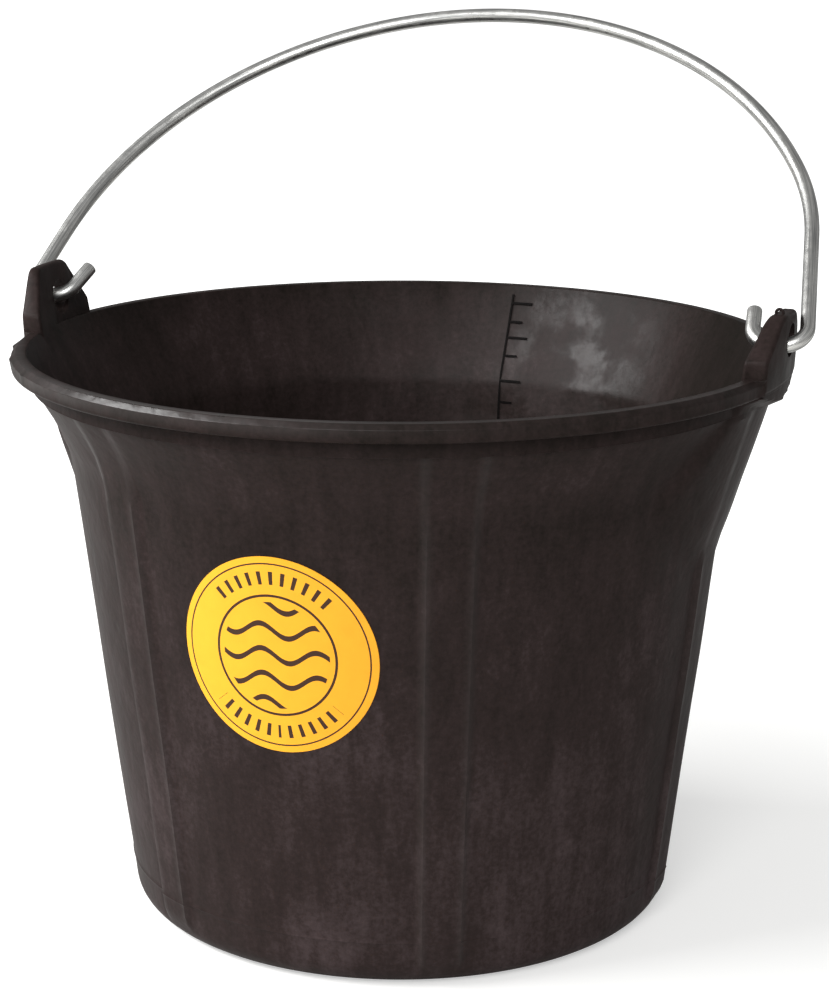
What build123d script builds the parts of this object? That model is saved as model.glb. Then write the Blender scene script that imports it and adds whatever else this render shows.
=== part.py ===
from build123d import *
from math import cos, radians, sin, tan
import os

# Moulded rubber bucket with a bent wire bail, in millimetres.
# The origin is on the floor under the middle of the base and +Z is up.
# The two lugs that carry the bail stand on the X axis, and the label faces -Y.

# Rim: a thick lip above a plain band
rim_height = 235.0
lip_radius = 157.5
lip_bottom = 228.0
lip_inner_radius = 151.0
lip_outer_chamfer = 2.0
lip_inner_chamfer = 0.8
band_radius = 151.4
band_bottom = 221.0

# Outside of the wall: a straight taper that turns out into a flare below the band
base_radius = 112.5
wall_slope = 0.1165
base_corner_rounding = 11.4
flare_start = 201.7
flare_top_radius = 149.6
flare_rounding = 50.0

# Inside of the wall, floor and standing ring
wall_thickness = 5.1
inner_crease_height = 194.0
floor_top = 7.0
floor_cove = 7.0
recess_radius = 88.0
recess_depth = 2.5

# Upright ribs on the outside, which fade as they run up the flare
rib_count = 6
rib_width_degrees = 9.0
rib_height = 2.0
rib_height_at_band = 0.8
rib_bottom = 9.0
rib_foot_rounding = 4.0

# Buttress under each lug: a slope rounder than the wall, with side faces at 45 degrees
buttress_axis = 45.0
buttress_foot_height = 143.0
buttress_bend = (133.0, 163.0)
buttress_bend_rounding = 60.0
buttress_top_radius = 153.8
buttress_half_width = 55.0

# Lugs that stand on the rim, with a pad down over the lip and a wide hole for the wire
lug_top = 259.4
lug_half_width = 24.2
lug_shoulder = 241.5
lug_top_half_width = 9.0
lug_inner_radius = 151.4
lug_top_inner_radius = 156.1
lug_top_outer_radius = 160.4
lug_shoulder_rounding = 2.0
lug_top_rounding = 4.5
lug_edge_chamfer = 1.0
lug_hole_radius = 6.6
pad_edge = (158.2, 219.7)
pad_foot = (147.0, 213.0)

# Wire bail, drawn upright about its hinge line and then leaned back
# It is bent by hand, so the right leg has a tighter shoulder and the two hooks differ
wire_radius = 3.0
wire_flats = 16
hinge_height = 245.5
bail_lean_degrees = 51.5
arch_radius = 166.0
arch_centre = 13.0
leg_lean_degrees = 8.0
shoulder_radius = 109.0
shoulder_degrees = 28.0
hook_bend = 8.5
left_hook_corner = 151.0
left_hook_height = 17.0
left_hook_lean_degrees = 18.0
right_hook_corner = 144.7
right_hook_height = 14.5
right_hook_lean_degrees = 6.0

# Round label stuck on the front panel, a little off its middle
label_radius = 39.4
label_height = 139.0
label_middle_degrees = -92.0
label_thickness = 0.35


def panel_radius(height):
    """Outside radius of the plain wall below the flare."""
    return base_radius + wall_slope * height


def closed_face(points, roundings):
    """Flat face from corner points; roundings has one radius for each corner but the first and last."""
    path = FilletPolyline(*points, radius=roundings)
    closing_line = Line(points[-1], points[0])
    return make_face(path.edges() + closing_line.edges())


def turned(profile, middle_degrees=0, width_degrees=360):
    """Turns a (radius, height) profile about Z, all round or as a slice about one direction."""
    from_x = revolve(Plane.XZ * profile, Axis.Z, revolution_arc=width_degrees)
    return Rot(Z=middle_degrees - width_degrees / 2) * from_x


# Outer form of the bucket, solid up to the rim, with a shallow recess under the base
flare_start_radius = panel_radius(flare_start)
outer_points = [
    (0, recess_depth),
    (recess_radius - recess_depth, recess_depth),
    (recess_radius, 0),
    (base_radius, 0),
    (flare_start_radius, flare_start),
    (flare_top_radius, band_bottom),
    (band_radius, band_bottom),
    (band_radius, lip_bottom),
    (lip_radius, lip_bottom),
    (lip_radius, rim_height - lip_outer_chamfer),
    (lip_radius - lip_outer_chamfer, rim_height),
    (0, rim_height),
]
outer_roundings = [0, 0, base_corner_rounding, flare_rounding, 0, 0, 0, 0, 0, 0]
outer_form = turned(closed_face(outer_points, outer_roundings))

# Ribs follow the wall and fade out under the band
rib_points = [
    (base_radius - base_corner_rounding, rib_bottom),
    (panel_radius(rib_bottom) + rib_height, rib_bottom),
    (flare_start_radius + rib_height, flare_start),
    (flare_top_radius + rib_height_at_band, band_bottom),
    (flare_top_radius + rib_height_at_band, band_bottom + 2),
    (base_radius - base_corner_rounding, band_bottom + 2),
]
rib_profile = closed_face(rib_points, [rib_foot_rounding, flare_rounding, 0, 0])
ribs = [turned(rib_profile, i * 360 / rib_count, rib_width_degrees) for i in range(rib_count)]

# Buttress: a slope turned about an axis of its own, so that it sinks into the wall on both sides
buttress_points = [
    (0, buttress_foot_height),
    (panel_radius(buttress_foot_height) - buttress_axis, buttress_foot_height),
    (buttress_bend[0] - buttress_axis, buttress_bend[1]),
    (buttress_top_radius - buttress_axis, lip_bottom),
    (buttress_top_radius - buttress_axis, lip_bottom + 2),
    (0, lip_bottom + 2),
]
buttress_profile = closed_face(buttress_points, [0, buttress_bend_rounding, 0, 0])
buttress_slope = Pos(buttress_axis, 0, 0) * turned(buttress_profile, 0, 120)
buttress_root = panel_radius(flare_start) - 11
buttress_plan = Polygon(
    (buttress_root, buttress_half_width),
    (buttress_root, -buttress_half_width),
    (buttress_root + buttress_half_width, 0),
    align=None,
)
buttress_wedge = Pos(0, 0, buttress_foot_height) * extrude(buttress_plan, lip_bottom)
buttress = buttress_slope & buttress_wedge

# Cavity: floor with a cove, tapered inside wall and inside of the flare, open past the rim
inner_crease = (panel_radius(inner_crease_height) - wall_thickness, inner_crease_height)
inner_flare_slope = (lip_inner_radius - inner_crease[0]) / (rim_height - inner_crease_height)
cavity_top = rim_height + 10
cavity_points = [
    (0, floor_top),
    (panel_radius(floor_top) - wall_thickness - floor_cove, floor_top),
    (panel_radius(floor_top + floor_cove) - wall_thickness, floor_top + floor_cove),
    inner_crease,
    (lip_inner_radius + inner_flare_slope * (cavity_top - rim_height), cavity_top),
    (0, cavity_top),
]
cavity = turned(closed_face(cavity_points, [0, 0, 0, 0]))

# Bucket wall with its ribs and buttresses, hollowed, and its inner rim edge broken
moulding = outer_form
for rib in ribs:
    moulding += rib
for half_turn in (0, 180):
    moulding += Rot(Z=half_turn) * buttress
moulding -= cavity
top_circles = moulding.edges().filter_by(GeomType.CIRCLE).group_by(Axis.Z)[-1]
moulding = chamfer(top_circles.sort_by(SortBy.RADIUS)[0], lip_inner_chamfer)


# Lug: a slice of a leaning wall trimmed to its outline, with broken edges
lug_points = [
    pad_foot,
    pad_edge,
    (lug_top_outer_radius, lug_top),
    (lug_top_inner_radius, lug_top),
    (lug_inner_radius, rim_height),
]
lug_corners = [(lug_half_width, pad_foot[1]), (lug_half_width, lug_shoulder), (lug_top_half_width, lug_top)]
lug_corners += [(-across, height) for across, height in reversed(lug_corners)]
lug_roundings = [lug_shoulder_rounding, lug_top_rounding, lug_top_rounding, lug_shoulder_rounding]
lug_block = extrude(Plane.YZ.offset(lip_inner_radius - 20) * closed_face(lug_corners, lug_roundings), 40)
lug = turned(closed_face(lug_points, [0, 0, 0]), 0, 24) & lug_block
lug_outer_face = lug.faces().sort_by(Axis.X)[-1]
lug_inner_face = lug.faces().filter_by(lambda face: face.center().Z > rim_height).sort_by(Axis.X)[0]
lug_face_edges = lug_outer_face.edges() + lug_inner_face.edges()
lug = chamfer(lug_face_edges.filter_by(lambda edge: edge.center().Z > lip_bottom), lug_edge_chamfer)

# Lugs join the rim, and one line drills both holes
for half_turn in (0, 180):
    moulding += Rot(Z=half_turn) * lug
hinge_line = Location((0, 0, hinge_height), (0, 90, 0))
moulding -= hinge_line * Cylinder(lug_hole_radius, 2 * lip_radius + 40)


def hook_line(corner, height, lean_degrees, leg_foot, side):
    """Line of one wire end: from its tip down to the hinge line, out through the lug and up the leg."""
    tip = (corner - height * tan(radians(lean_degrees)), height)
    outer_corner = leg_foot[0] + leg_foot[1] * tan(leg_lean)
    points = [tip, (corner, 0), (outer_corner, 0), leg_foot]
    return FilletPolyline(*[(side * across, up) for across, up in points], radius=hook_bend)


# Bail: one wire swept along the two hooks, the arch and the tighter shoulder on the right
leg_lean = radians(leg_lean_degrees)
shoulder = radians(shoulder_degrees)
shoulder_offset = arch_radius - shoulder_radius
shoulder_centre = (shoulder_offset * cos(shoulder), arch_centre + shoulder_offset * sin(shoulder))
left_foot = (arch_radius * cos(leg_lean), arch_centre + arch_radius * sin(leg_lean))
right_foot = (
    shoulder_centre[0] + shoulder_radius * cos(leg_lean),
    shoulder_centre[1] + shoulder_radius * sin(leg_lean),
)
right_hook = hook_line(right_hook_corner, right_hook_height, right_hook_lean_degrees, right_foot, 1)
right_shoulder = CenterArc(shoulder_centre, shoulder_radius, leg_lean_degrees, shoulder_degrees - leg_lean_degrees)
arch_turn = 180 - leg_lean_degrees - shoulder_degrees
arch = CenterArc((0, arch_centre), arch_radius, shoulder_degrees, arch_turn)
left_hook = hook_line(left_hook_corner, left_hook_height, left_hook_lean_degrees, left_foot, -1)
bail_line = Plane.XZ * Wire(right_hook.edges() + right_shoulder.edges() + arch.edges() + left_hook.edges())
wire_section = RegularPolygon(wire_radius, wire_flats)
upright_bail = sweep((bail_line ^ 0) * wire_section, bail_line)
bail = Pos(0, 0, hinge_height) * Rot(X=-bail_lean_degrees) * upright_bail

# Label: a thin patch of the wall's cone, cut round as seen from the front
label_low = label_height - label_radius - 2
label_high = label_height + label_radius + 2
label_corners = [
    (panel_radius(label_low), label_low),
    (panel_radius(label_low) + label_thickness, label_low),
    (panel_radius(label_high) + label_thickness, label_high),
    (panel_radius(label_high), label_high),
]
label_line = Location((0, -panel_radius(label_height), label_height), (90, 0, 0))
label = turned(closed_face(label_corners, [0, 0]), -90, 50) & label_line * Cylinder(label_radius, 60)
label = Rot(Z=label_middle_degrees + 90) * label

os.makedirs("parts", exist_ok=True)
export_step(moulding, "parts/bucket_moulding.step")
export_step(bail, "parts/wire_bail.step")
export_step(label, "parts/round_label.step")
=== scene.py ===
import bpy
import numpy as np
from math import cos, degrees, pi, radians, sin, tan
from mathutils import Matrix, Vector, noise


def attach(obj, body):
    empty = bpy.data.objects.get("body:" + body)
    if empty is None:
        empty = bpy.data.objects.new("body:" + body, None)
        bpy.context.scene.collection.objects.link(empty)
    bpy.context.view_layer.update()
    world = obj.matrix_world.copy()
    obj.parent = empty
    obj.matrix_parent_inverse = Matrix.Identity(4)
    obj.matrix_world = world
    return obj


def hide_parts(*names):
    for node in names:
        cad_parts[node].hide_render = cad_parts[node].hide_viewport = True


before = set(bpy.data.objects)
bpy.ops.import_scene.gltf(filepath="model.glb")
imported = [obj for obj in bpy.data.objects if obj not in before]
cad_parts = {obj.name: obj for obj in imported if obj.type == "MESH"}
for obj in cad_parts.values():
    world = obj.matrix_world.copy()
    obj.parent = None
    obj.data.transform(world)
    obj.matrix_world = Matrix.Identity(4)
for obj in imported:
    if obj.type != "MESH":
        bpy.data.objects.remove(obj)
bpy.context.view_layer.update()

scene = bpy.context.scene
MM = 0.001

# Sizes are in millimetres where no other unit is named.

# Rubber wall: (radius, height, rounding) at each corner of its section
OUTSIDE_CORNERS = [
    (0, 2.5, 0),
    (85.5, 2.5, 0.6),
    (88.0, 0, 0.6),
    (112.5, 0, 11.4),
    (136.0, 201.7, 50.0),
    (147.6, 221.0, 0.5),
    (149.4, 221.0, 0.5),
    (149.4, 228.0, 0.7),
    (157.5, 228.0, 1.2),
    (157.5, 233.0, 0.5),
    (155.6, 235.0, 0.8),
]
INSIDE_CORNERS = [
    (151.3, 235.0, 0.9),
    (130.0, 194.0, 14.0),
    (108.4, 9.0, 8.0),
    (97.0, 7.0, 0),
    (0, 7.0, 0),
]
ARC_STEP_DEGREES = 9.0
LEAST_ARC_STEPS = 3
RUN_LENGTH_OUTSIDE = 4.0
RUN_LENGTH_INSIDE = 12.0
TURN_STEPS = 480
WALL_BEGINS_RADIUS = 100.0
UNDERSIDE_ENDS_HEIGHT = 0.5

# Upright ribs on the outside, and the shallow step above the panels between them, lower beside a rib
RIB_COUNT = 6
RIB_TURN_DEGREES = -3.0
RIB_HALF_WIDTH_DEGREES = 4.9
RIB_SPREAD_DEGREES = 0.5
RIB_SPREAD_HEIGHTS = (180.0, 212.0)
RIB_FLANK_DEGREES = 1.2
RIB_EDGE_DEGREES = 1.1
# The wear on the ribs' edges also lightens their colour: a painted highlight along each edge
RIB_EDGE_WEAR_AND_HIGHLIGHT = 0.25
RIB_PROUD = 2.0
RIB_PROUD_AT_BAND = 0.8
RIB_FADE_HEIGHTS = (185.0, 221.0)
RIB_FOOT_HEIGHTS = (7.0, 13.0)
RIB_END_HEIGHTS = (220.5, 221.5)
PANEL_TOP_HEIGHTS = (194.0, 202.0)
PANEL_TOP_STEP = 0.8
PANEL_TOP_DROP = 5.0
PANEL_TOP_DROP_DEGREES = 9.0

# Parting line of the mould near the base, and the unevenness of the soft wall
PARTING_LINE_HEIGHT = 20.0
PARTING_LINE_PROUD = 0.3
PARTING_LINE_HALF_WIDTH = 0.7
UNEVEN_DEPTH = 0.35
UNEVEN_SPACING = 45.0
UNEVEN_BEGINS_HEIGHTS = (4.0, 30.0)
UNEVEN_ENDS_HEIGHTS = (200.0, 240.0)

# Lip made shiny by hands, with a painted highlight, and painted shade on the inside wall, in degrees from +X
RUBBED_AND_HIGHLIT_LIP_BEGINS = (-68.0, -88.0)
RUBBED_AND_HIGHLIT_LIP_ENDS = (-150.0, -122.0)
LEAST_RUBBED_AND_HIGHLIT_LIP = 0.2
LIP_WEAR_AND_HIGHLIGHT_RADIUS = 152.5
LIP_WEAR_AND_HIGHLIGHT_HEIGHTS = (231.0, 234.5)
PAINTED_SHADE_DEGREES = 22.0
PAINTED_SHADE_FADE = (34.0, 14.0)

# Buttress under each lug: (radius, height) down its middle, turned about an axis of its own
BUTTRESS_AXIS = 45.0
BUTTRESS_SLOPE = [
    (129.2, 143.0), (131.2, 154.0), (133.6, 163.0),
    (136.9, 173.0), (141.0, 187.0), (153.8, 228.0),
]
BUTTRESS_PLAN_REACH = 180.0
BUTTRESS_HALF_TURN = 0.6

# Pad over the lip at each lug: (radius, height) down its middle. It starts from the band below the
# lip's underside and from the lip's edge above it, and its own underside rises to both ends
PAD_SLOPE = [(150.7, 219.0), (158.2, 222.7), (158.9, 233.2), (159.2, 235.0)]
PAD_HALF_WIDTH = 27.0
PAD_END_SLOPE = 1.5
PAD_RISE_AT_ENDS = 5.5
PAD_RISE_POWER = 1.3
PAD_ROWS = (219.2, 222.7, 224.2, 225.6, 226.9)
PAD_BAND_RADIUS = 140.0
PAD_LIP_RADIUS = 155.0
LIP_UNDERSIDE_HEIGHT = 228.6

# Flash left by the mould on the lip's edge: (direction in degrees, height, stand-out, half length)
FLASH_BITS = [
    (-161.5, 232.6, 1.3, 3.6),
    (-151.0, 233.0, 0.7, 4.0),
    (-139.0, 232.8, 0.6, 2.0),
    (-84.0, 233.0, 0.4, 5.0),
]
FLASH_HALF_HEIGHT = 1.6

# Lugs, right (1) and left (-1): half of the outline across and up, and the inner and outer radius at
# the rim and on top
LUG_MIDDLE = -3.0
LUG_HALF_WIDTH = 27.0
LUG_TOP_HALF_WIDTH = {1: 12.0, -1: 14.0}
LUG_FOOT_HEIGHT = 229.0
LUG_RIM_HEIGHT = 235.0
LUG_SHOULDER_HEIGHT = 241.5
LUG_TOP_HEIGHT = {1: 256.8, -1: 259.4}
LUG_AT_RIM = {1: (150.9, 159.3), -1: (151.6, 159.3)}
LUG_ON_TOP = {1: (153.9, 160.4), -1: (156.1, 160.4)}
LUG_SPLAY = 0.05
LUG_SLICES = (-17.0, -5.0, 5.0, 17.0)
LUG_TOP_ROUNDING = {1: 5.0, -1: 2.5}
LUG_TOP_ROUNDING_STEPS = 6
LUG_SOFT_EDGE = 1.6
LUG_SOFT_EDGE_STEPS = 4
LUG_SHARP_DEGREES = 30.0
CORNER_NEARNESS = 0.1

# Hole through each lug on the hinge line, opened out inside, and the loop of flash on the right lug
HINGE_HEIGHT = 245.5
LUG_HOLE_RADIUS = 6.6
LUG_HOLE_SIDES = 48
LUG_DRILL_LENGTH = 60.0
LUG_DRILL_MIDDLE = 155.0
LUG_COUNTERSINK_RADIUS = 10.5
LUG_COUNTERSINK_DEPTH = 6.2
LUG_COUNTERSINK_MIDDLE = 151.1
LUG_FLASH_RADII = (1.4, 0.6)
LUG_FLASH_SIDES = (20, 10)
LUG_FLASH_PLACE = (156.3, -8.0, 257.2)

# Wire bail, bent upright in its own plane and then leaned back; hooks are (corner, height, lean)
WIRE_RADIUS = 3.0
WIRE_SIDES = 32
BAIL_LEAN_DEGREES = 51.5
ARCH_RADIUS = 166.0
ARCH_CENTRE = 13.0
ARCH_STEPS = 110
SHOULDER_RADIUS = 109.0
SHOULDER = radians(28.0)
SHOULDER_STEPS = 14
LEG_LEAN = radians(8.0)
RIGHT_LEG_STEPS = 4
LEFT_LEG_STEPS = 3
HOOK_BEND = 8.5
HOOK_BEND_STEPS = 12
HOOK_RUN_STEPS = 2
LEFT_HOOK = (151.0, 17.0, radians(18.0))
RIGHT_HOOK = (144.7, 17.5, radians(6.0))
RIGHT_HOOK_DROP = 3.0
CUT_END_BEVEL = 0.7
CUT_END_BEVEL_STEPS = 3
CUT_END_DEGREES = 60.0

# Litre scale: (radius, height) of the inside wall that carries it, the heights of its ticks, and how far
# they stand out of the wall and reach into it
SCALE_WALL = [(107.4, 0), (130.0, 194.0), (151.0, 235.0)]
SCALE_TURN = 0.020
SCALE_LINE = (60.0, 231.0)
SCALE_LINE_CUTS = 24
LONG_TICKS = (227.4, 212.7, 194.3, 174.0, 151.5, 126.5)
SHORT_TICKS = (219.4, 204.9, 184.6, 163.2, 139.5, 113.0)
LONG_TICK = 9.6
SHORT_TICK = 6.0
TICK_CUTS = 1
TICK_WIDTH = 0.8
TICK_PROUD = 0.52
TICK_ROOT = 0.40

# How much bloom lies on the rubber at each height; the lighter band on the flare below the lip is painted
# sheen, the floor's reflection
BLOOM_AND_SHEEN_BY_HEIGHT = [
    (0, 0.54), (72, 0.49), (144, 0.43), (190, 0.32), (202, 0.41),
    (221, 0.38), (235, 0.24), (241, 0.40), (260, 0.40),
]

# Sizes of the patterns on the rubber; the wipe marks are spaced on a wall of middle radius and drawn out
# upwards, and dust and grain are coarser than real, so that they show in a render
CLOUD_SIZE = 70.0
PATCH_SIZE = 30.0
WIPE_SPACING = 8.0
WIPE_WALL_RADIUS = 130.0
WIPE_UPWARD_SCALE = 1.6
DUST_SIZE = 2.2
DENT_SIZE = 22.0
GRAIN_SIZE = 1.8
SCALE_SPECK_SIZE = 4.0
WIPED_PATCH_MIDDLE = (30.0, 137.0, 195.0)
WIPED_PATCH_RADII = (30.0, 70.0)
WIPED_CLOUD_SIZE = 24.0

# Sizes of the patterns on the wire and in the paper; the die's lines are coarser than real, to show
DIE_LINE_WIDTH = 0.5
DIE_LINE_DRAW = 0.02
PLATING_SPOT_SIZE = 4.0
FIBRE_SIZE = 6.0

# Print on the label: rings and rows as (radius, half width), bars in radians round its middle
LABEL_MIDDLE = (-4.5, 0, 139.0)
LABEL_HALF_WIDTH = 40.0
LABEL_EDGE_RING = (36.6, 0.3)
LABEL_FIELD_RING = (24.0, 0.5)
LABEL_BAR_ROW = (31.0, 2.6)
LABEL_BAR_BEAT = 0.075
LABEL_BAR_HALF_WIDTH = 0.026
LABEL_BARE_SIDE = 0.70
LABEL_WAVE_FIELD = 21.5
LABEL_WAVE_LENGTH = 22.0
LABEL_WAVE_HEIGHT = 2.6
LABEL_WAVE_BEAT = 5.0
LABEL_WAVE_HALF_WIDTH = 1.1

# Studio, in metres
FLOOR_SIZE = 30.0
FLOOR_HEIGHT = -0.0003
FLOOR_GLOW_REACH = (0.25, 1.4)
FLOOR_GLOW = (0.45, 0.96)
STUDIO_LIGHT = 0.28

# Making of the pieces: size of a new ring and the distance that merges doubles, in metres
START_SIZE = 0.01
MERGE_DISTANCE = 0.00002
SMOOTH_DEGREES = 32.0


def linear(hex_code):
    """sRGB hex colour as linear RGBA."""
    channels = [int(hex_code[i:i + 2], 16) / 255 for i in (1, 3, 5)]
    return [c / 12.92 if c <= 0.04045 else ((c + 0.055) / 1.055) ** 2.4 for c in channels] + [1.0]


def set_inputs(tree, node, inputs):
    """Gives each socket a value, another node's output, or a whole node for its first output."""
    for socket, value in inputs.items():
        source = value.outputs[0] if isinstance(value, bpy.types.Node) else value
        if isinstance(source, bpy.types.NodeSocket):
            tree.links.new(source, node.inputs[socket])
        else:
            node.inputs[socket].default_value = source


def add_node(tree, kind, inputs={}, **settings):
    """Adds a node with its settings and its inputs."""
    node = tree.nodes.new(kind)
    for name, value in settings.items():
        setattr(node, name, value)
    set_inputs(tree, node, inputs)
    return node


def start_material(name):
    """A new material, its node tree and its shader."""
    material = bpy.data.materials.new(name)
    material.use_nodes = True
    return material, material.node_tree, material.node_tree.nodes["Principled BSDF"]


def rounded(corners):
    """Section line through corners, with an arc at each corner that has a rounding."""
    line = [Vector(corners[0][:2])]
    for before, corner, after in zip(corners, corners[1:], corners[2:]):
        here = Vector(corner[:2])
        if corner[2] == 0:
            line.append(here)
            continue
        back = (Vector(before[:2]) - here).normalized()
        ahead = (Vector(after[:2]) - here).normalized()
        turn = pi - back.angle(ahead)
        middle = here + (back + ahead).normalized() * corner[2] / cos(turn / 2)
        start = here + back * corner[2] * tan(turn / 2) - middle
        steps = max(LEAST_ARC_STEPS, int(degrees(turn) / ARC_STEP_DEGREES))
        side = 1 if back.x * ahead.y - back.y * ahead.x < 0 else -1
        for i in range(steps + 1):
            line.append(middle + Matrix.Rotation(side * turn * i / steps, 2) @ start)
    line.append(Vector(corners[-1][:2]))
    return line


def divided(line, longest):
    """The same line with its long runs cut into shorter ones."""
    cut = [line[0]]
    for start, end in zip(line, line[1:]):
        pieces = max(1, round((end - start).length / longest))
        cut += [start.lerp(end, (i + 1) / pieces) for i in range(pieces)]
    return cut


def with_point_at(line, height):
    """The same line with one more point where it first rises past a height."""
    for i, (start, end) in enumerate(zip(line, line[1:])):
        if start.y < height < end.y:
            crossing = start.lerp(end, (height - start.y) / (end.y - start.y))
            return line[:i + 1] + [crossing] + line[i + 1:]
    return line


def deselect_all():
    """Leaves no object selected, CAD nodes included."""
    bpy.ops.object.select_all(action="DESELECT")


def select_only(piece):
    """Selects one object and makes it active."""
    deselect_all()
    piece.select_set(True)
    bpy.context.view_layer.objects.active = piece


def apply_modifier(piece, kind, **settings):
    """Adds a modifier with its settings and applies it."""
    select_only(piece)
    bpy.ops.object.modifier_add(type=kind)
    modifier = piece.modifiers[-1]
    for name, value in settings.items():
        setattr(modifier, name, value)
    bpy.ops.object.modifier_apply(modifier=modifier.name)


def combine(piece, operation, tool):
    """Cuts a tool out of a piece or joins it on, and removes the tool."""
    apply_modifier(piece, "BOOLEAN", operation=operation, solver="EXACT", object=tool)
    bpy.data.objects.remove(tool)


def start_ring(name, sides, radius=START_SIZE):
    """A new ring of vertices round the Z axis, left in edit mode and selected."""
    deselect_all()
    bpy.ops.mesh.primitive_circle_add(vertices=sides, radius=radius)
    piece = bpy.context.object
    piece.name = piece.data.name = name
    bpy.ops.object.mode_set(mode="EDIT")
    bpy.ops.mesh.select_all(action="SELECT")
    return piece


def close_up():
    """Merges doubles, points all faces outwards and leaves edit mode."""
    bpy.ops.mesh.select_all(action="SELECT")
    bpy.ops.mesh.remove_doubles(threshold=MERGE_DISTANCE)
    bpy.ops.mesh.normals_make_consistent(inside=False)
    bpy.ops.object.mode_set(mode="OBJECT")


def finish_piece(piece, body, material, replaced=None):
    """Smooths a piece, gives it its material, hangs it on the body it rides on, and hides the CAD part it
    replaces.
    """
    select_only(piece)
    bpy.ops.object.shade_smooth_by_angle(angle=radians(SMOOTH_DEGREES))
    piece.data.materials.clear()
    piece.data.materials.append(material)
    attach(piece, body)
    if replaced:
        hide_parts(replaced)


def smooth_step(low, high, value):
    """0 at low, 1 at high, and an even S between them; low may be the greater one."""
    part = np.clip((value - low) / (high - low), 0, 1)
    return part * part * (3 - 2 * part)


def wall_section():
    """Lines of the wall's outside and inside, with rows where the parting line and the pads need them."""
    outside = divided(rounded(OUTSIDE_CORNERS + [INSIDE_CORNERS[0]])[:-1], RUN_LENGTH_OUTSIDE)
    parting_rows = [PARTING_LINE_HEIGHT + side * PARTING_LINE_HALF_WIDTH for side in (-1, 0, 1)]
    for height in (*parting_rows, *PAD_ROWS):
        outside = with_point_at(outside, height)
    inside = divided(rounded([OUTSIDE_CORNERS[-1]] + INSIDE_CORNERS)[1:], RUN_LENGTH_INSIDE)
    return outside, inside


def spin_section(section):
    """Draws the section from one vertex, run by run, and spins it round the Z axis."""
    wall = start_ring("rubber_moulding", 3)
    bpy.ops.mesh.select_all(action="DESELECT")
    bpy.ops.object.mode_set(mode="OBJECT")
    wall.data.vertices[0].select = True
    bpy.ops.object.mode_set(mode="EDIT")
    bpy.ops.mesh.select_all(action="INVERT")
    bpy.ops.mesh.delete(type="VERT")
    bpy.ops.mesh.select_all(action="SELECT")
    bpy.ops.object.mode_set(mode="OBJECT")
    wall.data.vertices[0].co = (section[0].x * MM, 0, section[0].y * MM)
    bpy.ops.object.mode_set(mode="EDIT")
    for start, end in zip(section, section[1:]):
        step = (end - start) * MM
        bpy.ops.mesh.extrude_region_move(TRANSFORM_OT_translate={"value": (step.x, 0, step.y)})
    bpy.ops.mesh.select_all(action="SELECT")
    bpy.ops.mesh.spin(steps=TURN_STEPS, angle=2 * pi, center=(0, 0, 0), axis=(0, 0, 1))
    close_up()
    return wall


def rib_relief(angle, z):
    """How far the ribs and the step above the panels stand out, and the wear on the ribs' edges, which also
    paints a highlight along them.
    """
    rib_step = 2 * pi / RIB_COUNT
    rib_angle = angle - radians(RIB_TURN_DEGREES)
    off_rib = np.degrees(np.abs((rib_angle + rib_step / 2) % rib_step - rib_step / 2))
    half_width = RIB_HALF_WIDTH_DEGREES + RIB_SPREAD_DEGREES * smooth_step(*RIB_SPREAD_HEIGHTS, z)
    across_rib = smooth_step(0, RIB_FLANK_DEGREES, half_width - off_rib)
    proud = RIB_PROUD + (RIB_PROUD_AT_BAND - RIB_PROUD) * smooth_step(*RIB_FADE_HEIGHTS, z)
    beside_rib = smooth_step(PANEL_TOP_DROP_DEGREES, 0, off_rib)
    above_panel = PANEL_TOP_STEP * smooth_step(*PANEL_TOP_HEIGHTS, z + PANEL_TOP_DROP * beside_rib)
    up_rib = smooth_step(*RIB_FOOT_HEIGHTS, z) * (1 - smooth_step(*RIB_END_HEIGHTS, z))
    off_edge = np.abs(half_width - off_rib - RIB_EDGE_DEGREES) / RIB_EDGE_DEGREES
    edge_wear_and_highlight = np.clip(1 - off_edge, 0, 1) * up_rib * RIB_EDGE_WEAR_AND_HIGHLIGHT
    return np.maximum(proud * across_rib, above_panel) * up_rib, edge_wear_and_highlight


def buttress_reach(angle, z):
    """Radius of the buttresses, whose sides are cut at 45 degrees in plan, and 0 away from them."""
    to_lug = np.abs((angle + pi / 2) % pi - pi / 2)
    radii, heights = zip(*BUTTRESS_SLOPE)
    swing = np.interp(z, heights, radii) - BUTTRESS_AXIS
    chord = np.maximum(swing ** 2 - (BUTTRESS_AXIS * np.sin(to_lug)) ** 2, 0)
    round_slope = BUTTRESS_AXIS * np.cos(to_lug) + np.sqrt(chord)
    plan_side = BUTTRESS_PLAN_REACH / (np.cos(to_lug) + np.sin(to_lug))
    on_buttress = (z > heights[0]) & (z < heights[-1]) & (to_lug < BUTTRESS_HALF_TURN)
    return np.where(on_buttress, np.minimum(round_slope, plan_side), 0)


def lift_pads(pressed, radius, y, z):
    """The pressed radius with the pads raised on the band and the lip."""
    radii, heights = zip(*PAD_SLOPE)
    off_middle = np.abs(y - LUG_MIDDLE)
    under_lip = z < LIP_UNDERSIDE_HEIGHT
    rise = PAD_RISE_AT_ENDS * np.minimum(off_middle / PAD_HALF_WIDTH, 1) ** PAD_RISE_POWER
    reach = np.interp(np.where(under_lip, z - rise, z), heights, radii)
    at_end = np.clip((PAD_HALF_WIDTH - off_middle) / PAD_END_SLOPE + 1, 0, 1)
    lifted = pressed + at_end * np.maximum(reach - pressed, 0)
    far_out = radius > np.where(under_lip, PAD_BAND_RADIUS, PAD_LIP_RADIUS)
    return np.where(far_out & (z > heights[0]), lifted, pressed)


def give_points(piece, name, values):
    """Stores a number at each vertex under the name by which the material reads it."""
    piece.data.attributes.new(name, "FLOAT", "POINT").data.foreach_set("value", values)


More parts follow.
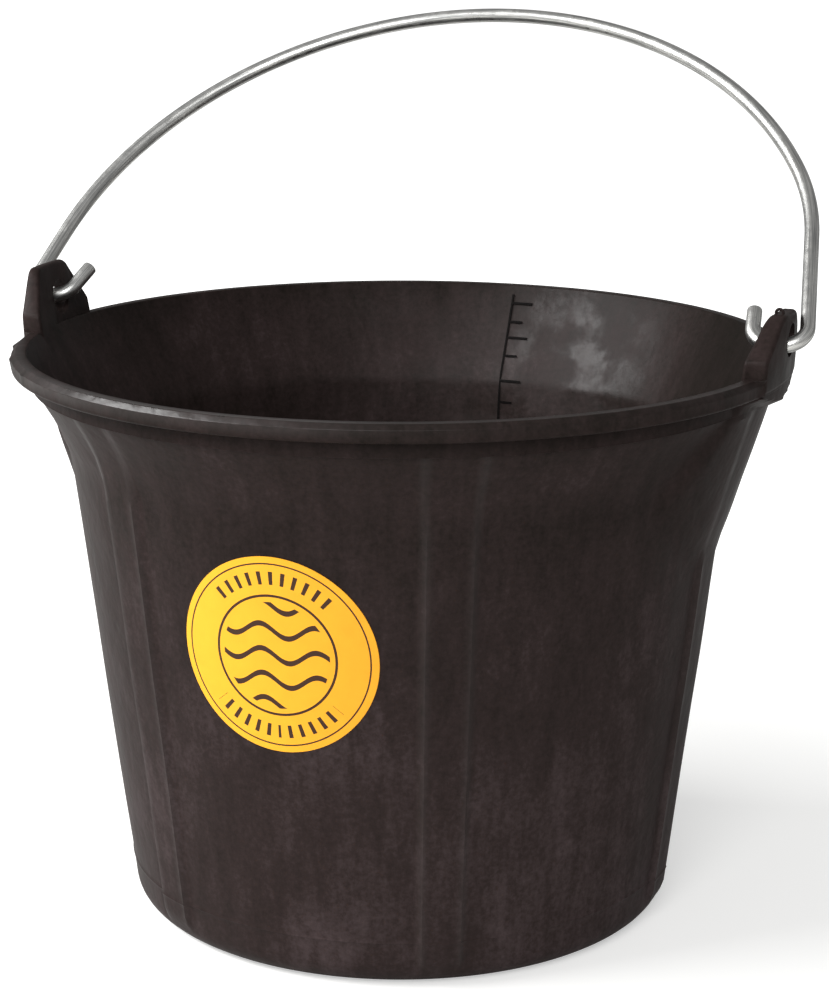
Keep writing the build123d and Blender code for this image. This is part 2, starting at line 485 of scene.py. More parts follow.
def turn_wall():
    """Spins the wall's section into the bucket, then presses out ribs, buttresses, pads and flash."""
    outside, inside = wall_section()
    wall = spin_section(outside + inside)
    points = np.empty(len(wall.data.vertices) * 3)
    wall.data.vertices.foreach_get("co", points)
    x, y, z = points.reshape(-1, 3).T / MM
    radius = np.hypot(x, y)
    angle = np.arctan2(y, x)
    on_wall = radius > WALL_BEGINS_RADIUS
    outer_line = np.array([p[:] for p in outside if p.x > WALL_BEGINS_RADIUS])
    inner_line = np.array([p[:] for p in inside if p.x > WALL_BEGINS_RADIUS])[::-1]
    outer_radius = np.interp(z, outer_line[:, 1], outer_line[:, 0])
    inner_radius = np.interp(z, inner_line[:, 1], inner_line[:, 0])
    is_outside = (radius > (outer_radius + inner_radius) / 2) & (z > UNDERSIDE_ENDS_HEIGHT)

    relief, edge_wear_and_highlight = rib_relief(angle, z)
    parting = np.clip(1 - np.abs(z - PARTING_LINE_HEIGHT) / PARTING_LINE_HALF_WIDTH, 0, 1)
    pressed = radius + relief + PARTING_LINE_PROUD * parting
    pressed = np.maximum(pressed, buttress_reach(angle, z))
    pressed = lift_pads(pressed, radius, y, z)
    for middle, height, stand_out, half_length in FLASH_BITS:
        along_lip = radius * ((angle - radians(middle) + pi) % (2 * pi) - pi)
        off_middle = (along_lip / half_length) ** 2 + ((z - height) / FLASH_HALF_HEIGHT) ** 2
        pressed += stand_out * np.exp(-off_middle)
    pressed = np.where(is_outside, pressed, radius)

    uneven = np.array([noise.noise(Vector(p) / UNEVEN_SPACING) for p in zip(x, y, z)])
    depth = UNEVEN_DEPTH * smooth_step(*UNEVEN_BEGINS_HEIGHTS, z) * np.interp(z, UNEVEN_ENDS_HEIGHTS, (1, 0))
    pressed += np.where(on_wall, uneven * depth, 0)
    scale = np.where(radius > 1, pressed / np.maximum(radius, 1), 1)
    moved = np.stack([x * scale, y * scale, z], axis=1) * MM
    wall.data.vertices.foreach_set("co", moved.ravel())

    direction = np.degrees(angle)
    # Along the lip the wear mask also paints a highlight into the colour, strongest on its left
    rubbed_and_highlit = smooth_step(*RUBBED_AND_HIGHLIT_LIP_BEGINS, direction) * smooth_step(*RUBBED_AND_HIGHLIT_LIP_ENDS, direction)
    rubbed_and_highlit = LEAST_RUBBED_AND_HIGHLIT_LIP + (1 - LEAST_RUBBED_AND_HIGHLIT_LIP) * rubbed_and_highlit
    lip_wear_and_highlight = np.where(radius > LIP_WEAR_AND_HIGHLIGHT_RADIUS, rubbed_and_highlit * smooth_step(*LIP_WEAR_AND_HIGHLIGHT_HEIGHTS, z), 0)
    give_points(wall, "worn_and_highlit_edge", np.maximum(np.where(is_outside, edge_wear_and_highlight, 0), lip_wear_and_highlight))
    # Painted shade: a mask over the inside wall at the right, where its colour is darkened
    in_painted_shade = smooth_step(*PAINTED_SHADE_FADE, np.abs(direction - PAINTED_SHADE_DEGREES))
    give_points(wall, "painted_shade_inside", np.where(on_wall & ~is_outside, in_painted_shade, 0))
    wall.data.update()
    return wall


def lug_on(side):
    """One lug: its outline drawn flat, given its thickness, bent round the rim, softened and drilled."""
    top = LUG_TOP_HEIGHT[side]
    top_half_width = LUG_TOP_HALF_WIDTH[side]
    outline = [
        (LUG_HALF_WIDTH, LUG_FOOT_HEIGHT),
        (LUG_HALF_WIDTH, LUG_SHOULDER_HEIGHT),
        (top_half_width, top),
    ]
    outline += [(-across, up) for across, up in reversed(outline)]
    lug = start_ring("rubber_lug", len(outline))
    bpy.ops.mesh.edge_face_add()
    bpy.ops.mesh.extrude_region_move(TRANSFORM_OT_translate={"value": (0, 0, START_SIZE)})
    bpy.ops.object.mode_set(mode="OBJECT")
    for i, vertex in enumerate(lug.data.vertices):
        vertex.co = Vector((i // len(outline), *outline[i % len(outline)])) * MM
    bpy.ops.object.mode_set(mode="EDIT")
    for across in LUG_SLICES:
        bpy.ops.mesh.select_all(action="SELECT")
        bpy.ops.mesh.bisect(plane_co=(0, across * MM, 0), plane_no=(0, 1, 0))
    bpy.ops.object.mode_set(mode="OBJECT")

    # The inner and outer layer of the flat lug go to their places round the bucket's axis
    top_corners = set()
    for vertex in lug.data.vertices:
        layer, across, up = vertex.co / MM
        if up > top - CORNER_NEARNESS and abs(abs(across) - top_half_width) < CORNER_NEARNESS:
            top_corners.add(vertex.index)
        layer = round(layer)
        rise = (up - LUG_RIM_HEIGHT) / (top - LUG_RIM_HEIGHT)
        at_rim = LUG_AT_RIM[side][layer]
        reach = at_rim + (LUG_ON_TOP[side][layer] - at_rim) * rise + LUG_SPLAY * across * (1 - layer)
        across += LUG_MIDDLE
        vertex.co = Vector(((reach ** 2 - across ** 2) ** 0.5, across, up)) * MM
    bevel_weight = lug.data.attributes.new("bevel_weight_edge", "FLOAT", "EDGE")
    for edge in lug.data.edges:
        start, end = (lug.data.vertices[i].co for i in edge.vertices)
        runs_through = abs(start.y - end.y) < top_half_width * MM
        is_top_corner = runs_through and top_corners.issuperset(edge.vertices)
        bevel_weight.data[edge.index].value = 1.0 if is_top_corner else 0.0
    apply_modifier(lug, "BEVEL", width=LUG_TOP_ROUNDING[side] * MM, segments=LUG_TOP_ROUNDING_STEPS,
                   limit_method="WEIGHT")
    bpy.ops.object.mode_set(mode="EDIT")
    close_up()
    apply_modifier(lug, "BEVEL", width=LUG_SOFT_EDGE * MM, segments=LUG_SOFT_EDGE_STEPS,
                   limit_method="ANGLE", angle_limit=radians(LUG_SHARP_DEGREES))

    along_hinge = {"vertices": LUG_HOLE_SIDES, "rotation": (0, pi / 2, 0)}
    bpy.ops.mesh.primitive_cylinder_add(
        radius=LUG_HOLE_RADIUS * MM, depth=LUG_DRILL_LENGTH * MM,
        location=Vector((LUG_DRILL_MIDDLE, 0, HINGE_HEIGHT)) * MM, **along_hinge)
    combine(lug, "DIFFERENCE", bpy.context.object)
    bpy.ops.mesh.primitive_cone_add(
        radius1=LUG_COUNTERSINK_RADIUS * MM, radius2=LUG_HOLE_RADIUS * MM, depth=LUG_COUNTERSINK_DEPTH * MM,
        location=Vector((LUG_COUNTERSINK_MIDDLE, 0, HINGE_HEIGHT)) * MM, **along_hinge)
    combine(lug, "DIFFERENCE", bpy.context.object)
    if side > 0:
        bpy.ops.mesh.primitive_torus_add(
            major_radius=LUG_FLASH_RADII[0] * MM, minor_radius=LUG_FLASH_RADII[1] * MM,
            major_segments=LUG_FLASH_SIDES[0], minor_segments=LUG_FLASH_SIDES[1],
            location=Vector(LUG_FLASH_PLACE) * MM, rotation=(pi / 2, 0, 0))
        combine(lug, "UNION", bpy.context.object)
    else:
        lug.data.transform(Matrix.Scale(-1, 4, (1, 0, 0)))
        lug.data.flip_normals()
    return lug


def store_drawn_wire(wire, path):
    """Stores how far along the wire and where round it each vertex lies, for the lines of the die."""
    points = np.array([vertex.co[:] for vertex in wire.data.vertices]) / MM
    centres = np.array([(p.x, 0, p.y) for p in path])
    lengths = np.concatenate([[0], np.cumsum(np.linalg.norm(np.diff(centres, axis=0), axis=1))])
    nearest = [int(np.argmin(((centres - p) ** 2).sum(axis=1))) for p in points]
    outward = points - centres[nearest]
    arch_out = centres[nearest] - np.array((0, 0, ARCH_CENTRE))
    arch_out /= np.linalg.norm(arch_out, axis=1)[:, None]
    turn = np.arctan2(outward[:, 1], (outward * arch_out).sum(axis=1))
    values = np.stack([lengths[nearest], WIRE_RADIUS * np.cos(turn), WIRE_RADIUS * np.sin(turn)], axis=1)
    drawn = wire.data.attributes.new("drawn_wire", "FLOAT_VECTOR", "POINT")
    drawn.data.foreach_set("vector", (values * MM).ravel())


def bend_wire():
    """Draws the wire out from its right tip: straight runs are extruded, bends are spun."""
    path = []
    wire = start_ring("zinc_wire_bail", WIRE_SIDES, WIRE_RADIUS * MM)
    corner, height, lean = RIGHT_HOOK
    at = Vector((corner - height * tan(lean), height - RIGHT_HOOK_DROP))
    heading = lean - pi / 2
    bpy.ops.object.mode_set(mode="OBJECT")
    to_tip = Matrix.Translation((at.x * MM, 0, at.y * MM))
    wire.data.transform(to_tip @ Matrix.Rotation(pi / 2 - heading, 4, "Y"))
    bpy.ops.object.mode_set(mode="EDIT")
    bpy.ops.mesh.select_all(action="SELECT")

    def run(length, steps):
        nonlocal at
        step = Vector((cos(heading), sin(heading))) * length / steps
        move = (step.x * MM, 0, step.y * MM)
        for _ in range(steps):
            path.append(at.copy())
            bpy.ops.mesh.extrude_region_move(TRANSFORM_OT_translate={"value": move})
            at = at + step

    def bend(turn, radius, steps):
        nonlocal at, heading
        centre = at + Vector((-sin(heading), cos(heading))) * radius
        bpy.ops.mesh.spin(steps=steps, angle=turn, center=(centre.x * MM, 0, centre.y * MM), axis=(0, 1, 0))
        for i in range(steps):
            path.append(centre + Matrix.Rotation(turn * i / steps, 2) @ (at - centre))
        at = centre + Matrix.Rotation(turn, 2) @ (at - centre)
        heading += turn

    offset = ARCH_RADIUS - SHOULDER_RADIUS
    right_foot = Vector((offset * cos(SHOULDER) + SHOULDER_RADIUS * cos(LEG_LEAN),
                         ARCH_CENTRE + offset * sin(SHOULDER) + SHOULDER_RADIUS * sin(LEG_LEAN)))
    left_foot = Vector((ARCH_RADIUS * cos(LEG_LEAN), ARCH_CENTRE + ARCH_RADIUS * sin(LEG_LEAN)))
    leg_turn = pi / 2 + LEG_LEAN
    leg_cut = HOOK_BEND * tan(leg_turn / 2)

    # Right hook and leg, from the tip
    hook_turn = pi / 2 - lean
    hook_cut = HOOK_BEND * tan(hook_turn / 2)
    leg_height = right_foot.y + RIGHT_HOOK_DROP
    leg_corner = right_foot.x + leg_height * tan(LEG_LEAN)
    run(height / cos(lean) - hook_cut, HOOK_RUN_STEPS)
    bend(hook_turn, HOOK_BEND, HOOK_BEND_STEPS)
    run(leg_corner - corner - hook_cut - leg_cut, HOOK_RUN_STEPS)
    bend(leg_turn, HOOK_BEND, HOOK_BEND_STEPS)
    run(leg_height / cos(LEG_LEAN) - leg_cut, RIGHT_LEG_STEPS)

    # Tight shoulder and the arch
    bend(SHOULDER - LEG_LEAN, SHOULDER_RADIUS, SHOULDER_STEPS)
    bend(pi - SHOULDER - LEG_LEAN, ARCH_RADIUS, ARCH_STEPS)

    # Left leg and hook, to the tip
    corner, height, lean = LEFT_HOOK
    hook_turn = pi / 2 - lean
    hook_cut = HOOK_BEND * tan(hook_turn / 2)
    leg_corner = left_foot.x + left_foot.y * tan(LEG_LEAN)
    run(left_foot.y / cos(LEG_LEAN) - leg_cut, LEFT_LEG_STEPS)
    bend(leg_turn, HOOK_BEND, HOOK_BEND_STEPS)
    run(leg_corner - corner - leg_cut - hook_cut, HOOK_RUN_STEPS)
    bend(hook_turn, HOOK_BEND, HOOK_BEND_STEPS)
    run(height / cos(lean) - hook_cut, HOOK_RUN_STEPS)
    path.append(at.copy())

    # Both cut ends are closed, and their edges broken
    bpy.ops.mesh.select_all(action="SELECT")
    bpy.ops.mesh.remove_doubles(threshold=MERGE_DISTANCE)
    bpy.ops.mesh.select_all(action="DESELECT")
    bpy.ops.mesh.select_non_manifold()
    bpy.ops.mesh.edge_face_add()
    close_up()
    store_drawn_wire(wire, path)
    apply_modifier(wire, "BEVEL", width=CUT_END_BEVEL * MM, segments=CUT_END_BEVEL_STEPS,
                   limit_method="ANGLE", angle_limit=radians(CUT_END_DEGREES))
    to_hinge = Matrix.Translation((0, 0, HINGE_HEIGHT * MM))
    wire.data.transform(to_hinge @ Matrix.Rotation(-radians(BAIL_LEAN_DEGREES), 4, "X"))
    return wire


def litre_scale():
    """Raised line and ticks on the inside wall, each a bar bent to the wall, joined to one piece."""
    low, high = SCALE_LINE
    bars = [(0, (low + high) / 2, TICK_WIDTH, high - low, SCALE_LINE_CUTS)]
    for length, heights in ((LONG_TICK, LONG_TICKS), (SHORT_TICK, SHORT_TICKS)):
        bars += [(length / 2, height, length, TICK_WIDTH, TICK_CUTS) for height in heights]
    wall_radii, wall_heights = zip(*SCALE_WALL)
    made = []
    for middle, height, width, tall, cuts in bars:
        deselect_all()
        bpy.ops.mesh.primitive_cube_add(size=1)
        bar = bpy.context.object
        bpy.ops.object.mode_set(mode="EDIT")
        bpy.ops.mesh.select_all(action="SELECT")
        bpy.ops.mesh.subdivide(number_cuts=cuts)
        bpy.ops.object.mode_set(mode="OBJECT")
        for vertex in bar.data.vertices:
            up = height + vertex.co.z * tall
            across = middle + vertex.co.x * width
            bar_middle = np.interp(up, wall_heights, wall_radii) + (TICK_ROOT - TICK_PROUD) / 2
            reach = bar_middle + vertex.co.y * (TICK_ROOT + TICK_PROUD)
            turn = across / reach + SCALE_TURN
            vertex.co = Vector((reach * sin(turn), reach * cos(turn), up)) * MM
        made.append(bar)
    select_only(made[0])
    for bar in made:
        bar.select_set(True)
    bpy.ops.object.join()
    scale = bpy.context.object
    scale.name = scale.data.name = "litre_scale"
    return scale


# Moulded natural rubber: near black with a brown cast, a satin skin, and the mauve grey bloom of wax
# and dust that lies on it in feathered patches and upright wipe marks, lighter towards the bottom. Its
# colour also holds painted light: painted sheen on the flare below the lip, painted highlights on the
# ribs' edges and the lip, and painted shade on the inside wall at the right. It shines where hands rub
# the lip and where the inside was wiped
rubber, tree, shader = start_material("moulded_black_rubber")
place = add_node(tree, "ShaderNodeTexCoord").outputs["Object"]
across, deep, up = add_node(tree, "ShaderNodeSeparateXYZ", {0: place}).outputs
flat = add_node(tree, "ShaderNodeCombineXYZ", {0: across, 1: deep})
facing = add_node(tree, "ShaderNodeVectorMath", {0: flat}, operation="NORMALIZE")
squeezed = add_node(tree, "ShaderNodeMath", {0: up, 1: WIPE_UPWARD_SCALE}, operation="MULTIPLY")
lifted = add_node(tree, "ShaderNodeCombineXYZ", {2: squeezed})
upright = add_node(tree, "ShaderNodeVectorMath", {0: facing, 1: lifted}, operation="ADD")
clouds = add_node(tree, "ShaderNodeTexNoise", {
    "Vector": place, "Scale": 1 / (CLOUD_SIZE * MM), "Detail": 4.0, "Roughness": 0.55})
patches = add_node(tree, "ShaderNodeTexNoise", {
    "Vector": place, "Scale": 1 / (PATCH_SIZE * MM), "Detail": 9.0, "Roughness": 0.68, "Distortion": 0.4})
wipes = add_node(tree, "ShaderNodeTexNoise", {
    "Vector": upright, "Scale": WIPE_WALL_RADIUS / WIPE_SPACING, "Detail": 7.0, "Roughness": 0.66})
dust = add_node(tree, "ShaderNodeTexNoise", {
    "Vector": place, "Scale": 1 / (DUST_SIZE * MM), "Detail": 4.0, "Roughness": 0.7})
# Bloom at each height, with painted sheen on the flare below the lip
highest = BLOOM_AND_SHEEN_BY_HEIGHT[-1][0]
part_way_up = add_node(tree, "ShaderNodeMapRange", {0: up, 2: highest * MM})
bloom_and_sheen_by_height = add_node(tree, "ShaderNodeValToRGB", {0: part_way_up})
levels = bloom_and_sheen_by_height.color_ramp.elements
for end in (0, -1):
    levels[end].color = [BLOOM_AND_SHEEN_BY_HEIGHT[end][1]] * 3 + [1]
for height, level in BLOOM_AND_SHEEN_BY_HEIGHT[1:-1]:
    levels.new(height / highest).color = [level] * 3 + [1]
cloud_part = add_node(tree, "ShaderNodeMapRange", {0: clouds, 1: 0.32, 2: 0.70, 3: 0.75, 4: 1.2})
patch_part = add_node(tree, "ShaderNodeMapRange", {0: patches, 1: 0.49, 2: 0.62, 3: 0.0, 4: 0.09},
                      interpolation_type="SMOOTHSTEP")
wipe_part = add_node(tree, "ShaderNodeMapRange", {0: wipes, 1: 0.35, 2: 0.70, 3: -0.09, 4: 0.14})
dust_part = add_node(tree, "ShaderNodeMapRange", {0: dust, 1: 0.30, 2: 0.75, 3: -0.13, 4: 0.17})
edge_wear_and_highlight = add_node(tree, "ShaderNodeAttribute", attribute_name="worn_and_highlit_edge").outputs["Fac"]
# Painted highlight: the ribs' edges and the lip are lightened in colour, besides being shinier
wear_and_highlight_part = add_node(tree, "ShaderNodeMath", {0: edge_wear_and_highlight, 1: 0.05}, operation="MULTIPLY")
# Painted shade: the bloom's tone on the inside wall at the right is dimmed to about a third
painted_shade = add_node(tree, "ShaderNodeAttribute", attribute_name="painted_shade_inside").outputs["Fac"]
painted_shade_factor = add_node(tree, "ShaderNodeMapRange", {0: painted_shade, 3: 1.0, 4: 0.35})
# The bloom's tone, with the painted sheen, painted highlights and painted shade added in
bloom_and_painted_light = patch_part
for part in (wipe_part, dust_part, wear_and_highlight_part, bloom_and_sheen_by_height):
    bloom_and_painted_light = add_node(tree, "ShaderNodeMath", {0: bloom_and_painted_light, 1: part}, operation="ADD")
for part in (painted_shade_factor, cloud_part):
    bloom_and_painted_light = add_node(tree, "ShaderNodeMath", {0: bloom_and_painted_light, 1: part}, operation="MULTIPLY")
skin = add_node(tree, "ShaderNodeValToRGB", {0: bloom_and_painted_light})
skin.color_ramp.elements[0].color = linear("#12100c")
skin.color_ramp.elements[1].color = linear("#4b4041")
skin.color_ramp.elements.new(0.5).color = linear("#2f2625")
polished = add_node(tree, "ShaderNodeTexNoise", {
    "Vector": place, "Scale": 1 / (WIPED_CLOUD_SIZE * MM), "Detail": 7.0, "Roughness": 0.6, "Distortion": 0.2})
from_patch = add_node(tree, "ShaderNodeVectorMath", {0: place, 1: Vector(WIPED_PATCH_MIDDLE) * MM},
                      operation="DISTANCE").outputs["Value"]
wiped = add_node(tree, "ShaderNodeMapRange", {
    0: from_patch, 1: WIPED_PATCH_RADII[0] * MM, 2: WIPED_PATCH_RADII[1] * MM, 3: 1.0, 4: 0.0})
polish_level = add_node(tree, "ShaderNodeMapRange", {0: polished, 1: 0.42, 2: 0.60, 3: 0.14, 4: -0.10},
                        interpolation_type="SMOOTHSTEP")
polish_part = add_node(tree, "ShaderNodeMath", {0: polish_level, 1: wiped}, operation="MULTIPLY")
dulled = add_node(tree, "ShaderNodeMapRange", {0: bloom_and_painted_light, 3: 0.38, 4: 0.54})
roughness = add_node(tree, "ShaderNodeMath", {0: dulled, 1: polish_part}, operation="ADD")
roughness = add_node(tree, "ShaderNodeMath", {0: edge_wear_and_highlight, 1: -0.14, 2: roughness}, operation="MULTIPLY_ADD")
shine = add_node(tree, "ShaderNodeMapRange", {0: wiped, 3: 0.05, 4: 0.18})
shine = add_node(tree, "ShaderNodeMath", {0: edge_wear_and_highlight, 1: 0.50, 2: shine}, operation="MULTIPLY_ADD")
dents = add_node(tree, "ShaderNodeTexNoise", {"Vector": place, "Scale": 1 / (DENT_SIZE * MM), "Detail": 3.0})
grain = add_node(tree, "ShaderNodeTexNoise", {"Vector": place, "Scale": 1 / (GRAIN_SIZE * MM), "Detail": 3.0})
dented = add_node(tree, "ShaderNodeBump", {"Strength": 0.6, "Distance": 0.0018, "Height": dents})
grainy = add_node(tree, "ShaderNodeBump", {
    "Strength": 0.15, "Distance": 0.0003, "Height": grain, "Normal": dented})
set_inputs(tree, shader, {
    "Base Color": skin, "Roughness": roughness, "Specular IOR Level": shine, "IOR": 1.5, "Normal": grainy})

# The same rubber on the raised line and ticks of the scale, painted blacker than the wall: painted
# shade, for the dark lines that the raised marks show
scale_rubber, tree, shader = start_material("black_rubber_in_the_scale")
place = add_node(tree, "ShaderNodeTexCoord").outputs["Object"]
specks = add_node(tree, "ShaderNodeTexNoise", {
    "Vector": place, "Scale": 1 / (SCALE_SPECK_SIZE * MM), "Detail": 4.0})
tone = add_node(tree, "ShaderNodeValToRGB", {0: specks})
tone.color_ramp.elements[0].color = linear("#060505")
tone.color_ramp.elements[1].color = linear("#100c0b")
set_inputs(tree, shader, {"Base Color": tone, "Roughness": 0.6, "Specular IOR Level": 0.06})

# Zinc plated steel wire: bright grey, with fine lines drawn along it by the die and dull spots in the
# plating
zinc, tree, shader = start_material("zinc_plated_steel_wire")
drawn = add_node(tree, "ShaderNodeAttribute", attribute_name="drawn_wire").outputs["Vector"]
stretch = add_node(tree, "ShaderNodeVectorMath", {0: drawn, 1: (DIE_LINE_DRAW, 1.0, 1.0)},
                   operation="MULTIPLY")
lines = add_node(tree, "ShaderNodeTexNoise", {
    "Vector": stretch, "Scale": 1 / (DIE_LINE_WIDTH * MM), "Detail": 4.0, "Roughness": 0.6})
spots = add_node(tree, "ShaderNodeTexNoise", {
    "Vector": drawn, "Scale": 1 / (PLATING_SPOT_SIZE * MM), "Detail": 5.0, "Roughness": 0.7})
line_part = add_node(tree, "ShaderNodeMapRange", {0: lines, 1: 0.38, 2: 0.66})
spot_part = add_node(tree, "ShaderNodeMapRange", {0: spots, 1: 0.35, 2: 0.65})
bright = add_node(tree, "ShaderNodeMath", {0: line_part, 1: spot_part}, operation="MULTIPLY")
plate = add_node(tree, "ShaderNodeValToRGB", {0: line_part})
plate.color_ramp.elements[0].color = linear("#9fa09f")
plate.color_ramp.elements[1].color = linear("#faf9f5")
polish = add_node(tree, "ShaderNodeMapRange", {0: bright, 3: 0.42, 4: 0.20})
scored = add_node(tree, "ShaderNodeBump", {"Strength": 0.25, "Distance": 0.0002, "Height": lines})
set_inputs(tree, shader, {"Base Color": plate, "Metallic": 1.0, "Roughness": polish, "Normal": scored})

# Printed label paper: yellow ink under a thin varnish, with plain dark brown rings, bars and waves. The
# yellow is painted paler on the left and more orange on the right: painted light falling from the left
paper, tree, shader = start_material("printed_yellow_label_paper")
place = add_node(tree, "ShaderNodeTexCoord").outputs["Object"]
centred = add_node(tree, "ShaderNodeVectorMath", {0: place, 1: Vector(LABEL_MIDDLE) * MM},
                   operation="SUBTRACT")
across, _, up = add_node(tree, "ShaderNodeSeparateXYZ", {0: centred}).outputs
disc = add_node(tree, "ShaderNodeCombineXYZ", {0: across, 1: up})
reach = add_node(tree, "ShaderNodeVectorMath", {0: disc}, operation="LENGTH").outputs["Value"]
edge_ring, field_ring, bar_row = (
    add_node(tree, "ShaderNodeMath", {0: reach, 1: radius * MM, 2: half * MM}, operation="COMPARE")
    for radius, half in (LABEL_EDGE_RING, LABEL_FIELD_RING, LABEL_BAR_ROW))
clock = add_node(tree, "ShaderNodeMath", {0: across, 1: up}, operation="ARCTAN2")
bar_beat = add_node(tree, "ShaderNodeMath", {0: clock, 1: LABEL_BAR_BEAT}, operation="PINGPONG")
bar_ink = add_node(tree, "ShaderNodeMath", {0: bar_beat, 1: LABEL_BAR_HALF_WIDTH}, operation="LESS_THAN")
spread = add_node(tree, "ShaderNodeMath", {0: clock}, operation="ABSOLUTE")
from_side = add_node(tree, "ShaderNodeMath", {0: spread, 1: pi / 2}, operation="SUBTRACT")
off_side = add_node(tree, "ShaderNodeMath", {0: from_side}, operation="ABSOLUTE")
bar_arc = add_node(tree, "ShaderNodeMath", {0: off_side, 1: LABEL_BARE_SIDE}, operation="GREATER_THAN")
bars = add_node(tree, "ShaderNodeMath", {0: bar_row, 1: bar_ink}, operation="MULTIPLY")
bars = add_node(tree, "ShaderNodeMath", {0: bars, 1: bar_arc}, operation="MULTIPLY")
phase = add_node(tree, "ShaderNodeMath", {0: across, 1: 2 * pi / (LABEL_WAVE_LENGTH * MM)},
                 operation="MULTIPLY")
swell = add_node(tree, "ShaderNodeMath", {0: phase}, operation="SINE")
crest = add_node(tree, "ShaderNodeMath", {0: swell, 1: LABEL_WAVE_HEIGHT * MM, 2: up},
                 operation="MULTIPLY_ADD")
wave_beat = add_node(tree, "ShaderNodeMath", {0: crest, 1: LABEL_WAVE_BEAT * MM}, operation="PINGPONG")
wave_ink = add_node(tree, "ShaderNodeMath", {0: wave_beat, 1: LABEL_WAVE_HALF_WIDTH * MM},
                    operation="LESS_THAN")
wave_field = add_node(tree, "ShaderNodeMath", {0: reach, 1: LABEL_WAVE_FIELD * MM}, operation="LESS_THAN")
waves = add_node(tree, "ShaderNodeMath", {0: wave_ink, 1: wave_field}, operation="MULTIPLY")
ink = edge_ring
for mark in (bars, waves, field_ring):
    ink = add_node(tree, "ShaderNodeMath", {0: ink, 1: mark}, operation="MAXIMUM")
fibres = add_node(tree, "ShaderNodeTexNoise", {
    "Vector": place, "Scale": 1 / (FIBRE_SIZE * MM), "Detail": 5.0})
# Painted light: the ink turns paler yellow toward the left, where the lamp falls, and more orange toward the
# right
painted_light_across = add_node(tree, "ShaderNodeMapRange", {
    0: across, 1: -LABEL_HALF_WIDTH * MM, 2: LABEL_HALF_WIDTH * MM, 3: 0.28, 4: 0.0})
fibres_and_painted_light = add_node(tree, "ShaderNodeMath", {0: fibres, 1: 0.3, 2: painted_light_across}, operation="MULTIPLY_ADD")
sheet = add_node(tree, "ShaderNodeValToRGB", {0: fibres_and_painted_light})
sheet.color_ramp.elements[0].color = linear("#fea31a")
sheet.color_ramp.elements[1].color = linear("#fbcf31")
print_mix = add_node(tree, "ShaderNodeMix", {0: ink, 6: sheet, 7: linear("#3a1f0c")}, data_type="RGBA")
paper_bump = add_node(tree, "ShaderNodeBump", {"Strength": 0.15, "Distance": 0.0003, "Height": fibres})
set_inputs(tree, shader, {
    "Base Color": print_mix.outputs[2], "Roughness": 0.5, "Specular IOR Level": 0.35, "Normal": paper_bump})

moulding = turn_wall()
for side in (1, -1):
    combine(moulding, "UNION", lug_on(side))
finish_piece(moulding, "bucket", rubber, replaced="bucket_moulding")

bail = bend_wire()
finish_piece(bail, "bail", zinc, replaced="wire_bail")

scale = litre_scale()
finish_piece(scale, "bucket", scale_rubber)

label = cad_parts["round_label"]
label.data.materials.clear()
label.data.materials.append(paper)


def seen_directly(tree):
    """1 for rays that come from the camera, also through glass, and 0 for all others."""
    rays = add_node(tree, "ShaderNodeLightPath").outputs
    return add_node(tree, "ShaderNodeMath", {0: rays["Is Camera Ray"], 1: rays["Is Transmission Ray"]},
                    operation="MAXIMUM")


# Pale floor that keeps the object's shadow and turns white to the camera away from it
deselect_all()
bpy.ops.mesh.primitive_plane_add(size=FLOOR_SIZE, location=(0, 0, FLOOR_HEIGHT))
floor = bpy.context.object
floor.name = "studio_floor"
pale, tree, shader = start_material("pale_studio_paper")
tree.nodes.remove(shader)
place = add_node(tree, "ShaderNodeTexCoord").outputs["Object"]
reach = add_node(tree, "ShaderNodeVectorMath", {0: place}, operation="LENGTH").outputs["Value"]
whiter = add_node(tree, "ShaderNodeMapRange", {
    0: reach, 1: FLOOR_GLOW_REACH[0], 2: FLOOR_GLOW_REACH[1], 3: FLOOR_GLOW[0], 4: FLOOR_GLOW[1]})
glow_level = add_node(tree, "ShaderNodeMath", {0: seen_directly(tree), 1: whiter}, operation="MULTIPLY")
diffuse = add_node(tree, "ShaderNodeBsdfDiffuse", {"Color": linear("#e6e6e4")})
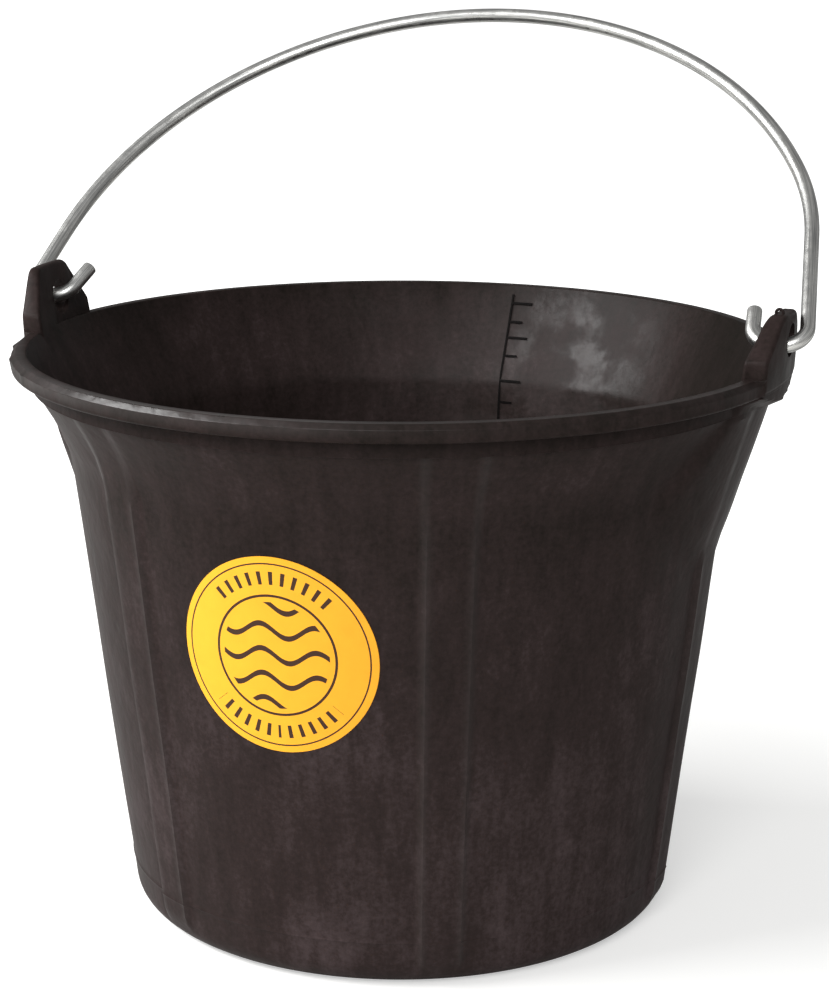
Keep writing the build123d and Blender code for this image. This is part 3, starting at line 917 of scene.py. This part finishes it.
glow = add_node(tree, "ShaderNodeEmission", {"Strength": glow_level})
lit = add_node(tree, "ShaderNodeAddShader", {0: diffuse, 1: glow})
set_inputs(tree, tree.nodes["Material Output"], {"Surface": lit})
floor.data.materials.append(pale)

scene.view_settings.view_transform = "Standard"

# Soft studio light: white to the camera and dim to all other rays, reflections too, because a white
# surrounding turns the black rubber grey where it is seen at a slant
world = bpy.data.worlds.new("white_studio")
scene.world = world
world.use_nodes = True
tree = world.node_tree
strength = add_node(tree, "ShaderNodeMath", {0: seen_directly(tree), 1: STUDIO_LIGHT}, operation="MAXIMUM")
set_inputs(tree, tree.nodes["Background"], {"Color": (1, 1, 1, 1), "Strength": strength})


def soft_lamp(name, place, aim, width, height, watts):
    """A soft box that faces a point."""
    light = bpy.data.lights.new(name, "AREA")
    light.shape = "RECTANGLE"
    light.size = width
    light.size_y = height
    light.energy = watts
    lamp = bpy.data.objects.new(name, light)
    scene.collection.objects.link(lamp)
    lamp.location = place
    lamp.rotation_euler = (Vector(aim) - Vector(place)).to_track_quat("-Z", "Y").to_euler()


soft_lamp("window_softbox", (-1.42, -0.70, 1.30), (0, 0, 0.15), 1.5, 0.8, 48)
soft_lamp("front_softbox", (0.45, -1.85, 1.4), (0, 0, 0.12), 1.2, 1.2, 28)

# Camera at the photograph's angle; the shift is the photograph's framing
camera_azimuth = radians(19.3)
camera_elevation = radians(16.66)
camera_distance = 1.0539
camera_aim = Vector((0, 0, 0.1212))
toward_camera = Vector((sin(camera_azimuth) * cos(camera_elevation),
                        -cos(camera_azimuth) * cos(camera_elevation),
                        sin(camera_elevation)))
lens = bpy.data.cameras.new("studio_camera")
lens.sensor_fit = "VERTICAL"
lens.sensor_height = 36.0
lens.lens = 90.19
lens.shift_x = 0.0136
lens.shift_y = 0.1091
camera = bpy.data.objects.new("studio_camera", lens)
scene.collection.objects.link(camera)
camera.location = camera_aim + camera_distance * toward_camera
camera.rotation_euler = (-toward_camera).to_track_quat("-Z", "Y").to_euler()
scene.camera = camera
